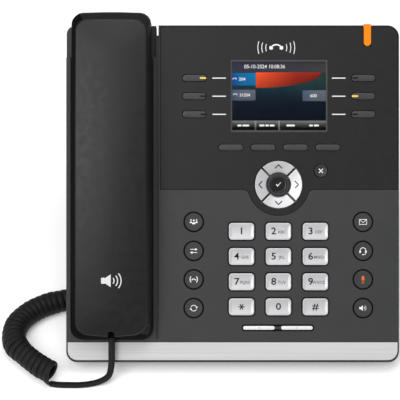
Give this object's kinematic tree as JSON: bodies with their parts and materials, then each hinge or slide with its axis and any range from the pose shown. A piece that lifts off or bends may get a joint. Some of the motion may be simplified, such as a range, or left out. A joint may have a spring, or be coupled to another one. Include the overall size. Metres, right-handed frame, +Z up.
{
  "type": "desk telephone",
  "caption": "Corded desk phone for network calls: handset in a side cradle, colour display, keypad and function keys on a sloping body with a clip-on stand.",
  "frame": {"origin": "centre of the bounding box on the table plane, measured without the free cord", "axes": "+Z up, +X to the user's right as they face the phone, +Y away from the user, towards the stand; the face slopes at 45 degrees and faces the user"},
  "size_m": [0.2418, 0.1743, 0.1663],
  "materials": {
    "matte_black_plastic": "fine spark-eroded grain",
    "panel_black_plastic": "fine satin",
    "grey_key_plastic": "satin",
    "silver_key_plastic": "satin silver-white paint",
    "brushed_trim": "brushed along its length",
    "display_glass": "clear, glossy",
    "module_steel": "plain sheet",
    "port_plastic": "moulded",
    "amber_lens": "translucent, lit",
    "circuit_board": "solder mask",
    "silicone": "matt",
    "foot_rubber": "matt",
    "clear_plug": "clear",
    "cord_sheath": "satin"
  },
  "bodies": {
    "base": {"front_housing": "matte_black_plastic", "rear_housing": "matte_black_plastic", "display_panel": "panel_black_plastic", "trim_strip": "brushed_trim", "display_window": "display_glass", "lcd_module": "module_steel", "message_lamp": "amber_lens", "main_board": "circuit_board", "key_membrane": "silicone", "loudspeaker": "module_steel", "port_block": "port_plastic", "desk_stand": "matte_black_plastic", "front_foot": "foot_rubber", "stand_foot": "foot_rubber", "base_plug": "clear_plug", "cord_lead_handset": "cord_sheath", "handset_cord_coil": "cord_sheath", "cord_lead_base": "cord_sheath"},
    "handset": {"handset_back_shell": "matte_black_plastic", "handset_front_shell": "matte_black_plastic", "receiver_capsule": "module_steel", "handset_plug": "clear_plug"},
    "line_key_1": {"line_key_1": "grey_key_plastic"},
    "line_key_2": {"line_key_2": "grey_key_plastic"},
    "line_key_3": {"line_key_3": "grey_key_plastic"},
    "line_key_4": {"line_key_4": "grey_key_plastic"},
    "line_key_5": {"line_key_5": "grey_key_plastic"},
    "line_key_6": {"line_key_6": "grey_key_plastic"},
    "soft_key_1": {"soft_key_1": "grey_key_plastic"},
    "soft_key_2": {"soft_key_2": "grey_key_plastic"},
    "soft_key_3": {"soft_key_3": "grey_key_plastic"},
    "soft_key_4": {"soft_key_4": "grey_key_plastic"},
    "nav_key_up": {"nav_key_up": "silver_key_plastic"},
    "nav_key_down": {"nav_key_down": "silver_key_plastic"},
    "nav_key_left": {"nav_key_left": "silver_key_plastic"},
    "nav_key_right": {"nav_key_right": "silver_key_plastic"},
    "ok_key": {"ok_key": "grey_key_plastic"},
    "cancel_key": {"cancel_key": "grey_key_plastic"},
    "conference_key": {"conference_key": "grey_key_plastic"},
    "transfer_key": {"transfer_key": "grey_key_plastic"},
    "hold_key": {"hold_key": "grey_key_plastic"},
    "redial_key": {"redial_key": "grey_key_plastic"},
    "message_key": {"message_key": "grey_key_plastic"},
    "headset_key": {"headset_key": "grey_key_plastic"},
    "mute_key": {"mute_key": "grey_key_plastic"},
    "speaker_key": {"speaker_key": "grey_key_plastic"},
    "number_key_1": {"number_key_1": "silver_key_plastic"},
    "number_key_2": {"number_key_2": "silver_key_plastic"},
    "number_key_3": {"number_key_3": "silver_key_plastic"},
    "number_key_4": {"number_key_4": "silver_key_plastic"},
    "number_key_5": {"number_key_5": "silver_key_plastic"},
    "number_key_6": {"number_key_6": "silver_key_plastic"},
    "number_key_7": {"number_key_7": "silver_key_plastic"},
    "number_key_8": {"number_key_8": "silver_key_plastic"},
    "number_key_9": {"number_key_9": "silver_key_plastic"},
    "number_key_star": {"number_key_star": "silver_key_plastic"},
    "number_key_0": {"number_key_0": "silver_key_plastic"},
    "number_key_hash": {"number_key_hash": "silver_key_plastic"},
    "volume_rocker": {"volume_rocker": "silver_key_plastic"},
    "hook_lever": {"hook_lever": "grey_key_plastic"}
  },
  "joints": [
    {"name": "line_key_1_press", "type": "slide", "parent": "base", "child": "line_key_1", "axis": [0, 0.7071, -0.7071], "range_m": [0, 0.0008], "stiffness_N_per_m": 400, "springref_m": -0.001},
    {"name": "line_key_2_press", "type": "slide", "parent": "base", "child": "line_key_2", "axis": [0, 0.7071, -0.7071], "range_m": [0, 0.0008], "stiffness_N_per_m": 400, "springref_m": -0.001},
    {"name": "line_key_3_press", "type": "slide", "parent": "base", "child": "line_key_3", "axis": [0, 0.7071, -0.7071], "range_m": [0, 0.0008], "stiffness_N_per_m": 400, "springref_m": -0.001},
    {"name": "line_key_4_press", "type": "slide", "parent": "base", "child": "line_key_4", "axis": [0, 0.7071, -0.7071], "range_m": [0, 0.0008], "stiffness_N_per_m": 400, "springref_m": -0.001},
    {"name": "line_key_5_press", "type": "slide", "parent": "base", "child": "line_key_5", "axis": [0, 0.7071, -0.7071], "range_m": [0, 0.0008], "stiffness_N_per_m": 400, "springref_m": -0.001},
    {"name": "line_key_6_press", "type": "slide", "parent": "base", "child": "line_key_6", "axis": [0, 0.7071, -0.7071], "range_m": [0, 0.0008], "stiffness_N_per_m": 400, "springref_m": -0.001},
    {"name": "soft_key_1_press", "type": "slide", "parent": "base", "child": "soft_key_1", "axis": [0, 0.7071, -0.7071], "range_m": [0, 0.0008], "stiffness_N_per_m": 400, "springref_m": -0.001},
    {"name": "soft_key_2_press", "type": "slide", "parent": "base", "child": "soft_key_2", "axis": [0, 0.7071, -0.7071], "range_m": [0, 0.0008], "stiffness_N_per_m": 400, "springref_m": -0.001},
    {"name": "soft_key_3_press", "type": "slide", "parent": "base", "child": "soft_key_3", "axis": [0, 0.7071, -0.7071], "range_m": [0, 0.0008], "stiffness_N_per_m": 400, "springref_m": -0.001},
    {"name": "soft_key_4_press", "type": "slide", "parent": "base", "child": "soft_key_4", "axis": [0, 0.7071, -0.7071], "range_m": [0, 0.0008], "stiffness_N_per_m": 400, "springref_m": -0.001},
    {"name": "nav_key_up_press", "type": "slide", "parent": "base", "child": "nav_key_up", "axis": [0, 0.7071, -0.7071], "range_m": [0, 0.0008], "stiffness_N_per_m": 400, "springref_m": -0.001},
    {"name": "nav_key_down_press", "type": "slide", "parent": "base", "child": "nav_key_down", "axis": [0, 0.7071, -0.7071], "range_m": [0, 0.0008], "stiffness_N_per_m": 400, "springref_m": -0.001},
    {"name": "nav_key_left_press", "type": "slide", "parent": "base", "child": "nav_key_left", "axis": [0, 0.7071, -0.7071], "range_m": [0, 0.0008], "stiffness_N_per_m": 400, "springref_m": -0.001},
    {"name": "nav_key_right_press", "type": "slide", "parent": "base", "child": "nav_key_right", "axis": [0, 0.7071, -0.7071], "range_m": [0, 0.0008], "stiffness_N_per_m": 400, "springref_m": -0.001},
    {"name": "ok_key_press", "type": "slide", "parent": "base", "child": "ok_key", "axis": [0, 0.7071, -0.7071], "range_m": [0, 0.0008], "stiffness_N_per_m": 400, "springref_m": -0.001},
    {"name": "cancel_key_press", "type": "slide", "parent": "base", "child": "cancel_key", "axis": [0, 0.7071, -0.7071], "range_m": [0, 0.0008], "stiffness_N_per_m": 400, "springref_m": -0.001},
    {"name": "conference_key_press", "type": "slide", "parent": "base", "child": "conference_key", "axis": [0, 0.7071, -0.7071], "range_m": [0, 0.0008], "stiffness_N_per_m": 400, "springref_m": -0.001},
    {"name": "transfer_key_press", "type": "slide", "parent": "base", "child": "transfer_key", "axis": [0, 0.7071, -0.7071], "range_m": [0, 0.0008], "stiffness_N_per_m": 400, "springref_m": -0.001},
    {"name": "hold_key_press", "type": "slide", "parent": "base", "child": "hold_key", "axis": [0, 0.7071, -0.7071], "range_m": [0, 0.0008], "stiffness_N_per_m": 400, "springref_m": -0.001},
    {"name": "redial_key_press", "type": "slide", "parent": "base", "child": "redial_key", "axis": [0, 0.7071, -0.7071], "range_m": [0, 0.0008], "stiffness_N_per_m": 400, "springref_m": -0.001},
    {"name": "message_key_press", "type": "slide", "parent": "base", "child": "message_key", "axis": [0, 0.7071, -0.7071], "range_m": [0, 0.0008], "stiffness_N_per_m": 400, "springref_m": -0.001},
    {"name": "headset_key_press", "type": "slide", "parent": "base", "child": "headset_key", "axis": [0, 0.7071, -0.7071], "range_m": [0, 0.0008], "stiffness_N_per_m": 400, "springref_m": -0.001},
    {"name": "mute_key_press", "type": "slide", "parent": "base", "child": "mute_key", "axis": [0, 0.7071, -0.7071], "range_m": [0, 0.0008], "stiffness_N_per_m": 400, "springref_m": -0.001},
    {"name": "speaker_key_press", "type": "slide", "parent": "base", "child": "speaker_key", "axis": [0, 0.7071, -0.7071], "range_m": [0, 0.0008], "stiffness_N_per_m": 400, "springref_m": -0.001},
    {"name": "number_key_1_press", "type": "slide", "parent": "base", "child": "number_key_1", "axis": [0, 0.7071, -0.7071], "range_m": [0, 0.0008], "stiffness_N_per_m": 400, "springref_m": -0.001},
    {"name": "number_key_2_press", "type": "slide", "parent": "base", "child": "number_key_2", "axis": [0, 0.7071, -0.7071], "range_m": [0, 0.0008], "stiffness_N_per_m": 400, "springref_m": -0.001},
    {"name": "number_key_3_press", "type": "slide", "parent": "base", "child": "number_key_3", "axis": [0, 0.7071, -0.7071], "range_m": [0, 0.0008], "stiffness_N_per_m": 400, "springref_m": -0.001},
    {"name": "number_key_4_press", "type": "slide", "parent": "base", "child": "number_key_4", "axis": [0, 0.7071, -0.7071], "range_m": [0, 0.0008], "stiffness_N_per_m": 400, "springref_m": -0.001},
    {"name": "number_key_5_press", "type": "slide", "parent": "base", "child": "number_key_5", "axis": [0, 0.7071, -0.7071], "range_m": [0, 0.0008], "stiffness_N_per_m": 400, "springref_m": -0.001},
    {"name": "number_key_6_press", "type": "slide", "parent": "base", "child": "number_key_6", "axis": [0, 0.7071, -0.7071], "range_m": [0, 0.0008], "stiffness_N_per_m": 400, "springref_m": -0.001},
    {"name": "number_key_7_press", "type": "slide", "parent": "base", "child": "number_key_7", "axis": [0, 0.7071, -0.7071], "range_m": [0, 0.0008], "stiffness_N_per_m": 400, "springref_m": -0.001},
    {"name": "number_key_8_press", "type": "slide", "parent": "base", "child": "number_key_8", "axis": [0, 0.7071, -0.7071], "range_m": [0, 0.0008], "stiffness_N_per_m": 400, "springref_m": -0.001},
    {"name": "number_key_9_press", "type": "slide", "parent": "base", "child": "number_key_9", "axis": [0, 0.7071, -0.7071], "range_m": [0, 0.0008], "stiffness_N_per_m": 400, "springref_m": -0.001},
    {"name": "number_key_star_press", "type": "slide", "parent": "base", "child": "number_key_star", "axis": [0, 0.7071, -0.7071], "range_m": [0, 0.0008], "stiffness_N_per_m": 400, "springref_m": -0.001},
    {"name": "number_key_0_press", "type": "slide", "parent": "base", "child": "number_key_0", "axis": [0, 0.7071, -0.7071], "range_m": [0, 0.0008], "stiffness_N_per_m": 400, "springref_m": -0.001},
    {"name": "number_key_hash_press", "type": "slide", "parent": "base", "child": "number_key_hash", "axis": [0, 0.7071, -0.7071], "range_m": [0, 0.0008], "stiffness_N_per_m": 400, "springref_m": -0.001},
    {"name": "volume_rocker_tip", "type": "hinge", "parent": "base", "child": "volume_rocker", "pos_m": [0.0275, -0.06353, 0.02259], "axis": [0, 0.7071, 0.7071], "range_deg": [-2, 2], "stiffness_Nm_per_rad": 0.05},
    {"name": "handset_lift", "type": "slide", "parent": "base", "child": "handset", "axis": [0, -0.7071, 0.7071], "range_m": [0, 0.06]},
    {"name": "hook_lever_rise", "type": "hinge", "parent": "base", "child": "hook_lever", "pos_m": [-0.0732, 0.03419, 0.11027], "axis": [-1, 0, 0], "range_deg": [0, 10], "stiffness_Nm_per_rad": 0.02, "springref_deg": 14.32}
  ],
  "couplings": [
    {"joint": "hook_lever_rise", "follows": "handset_lift", "rad_per_m": 2.9087}
  ]
}
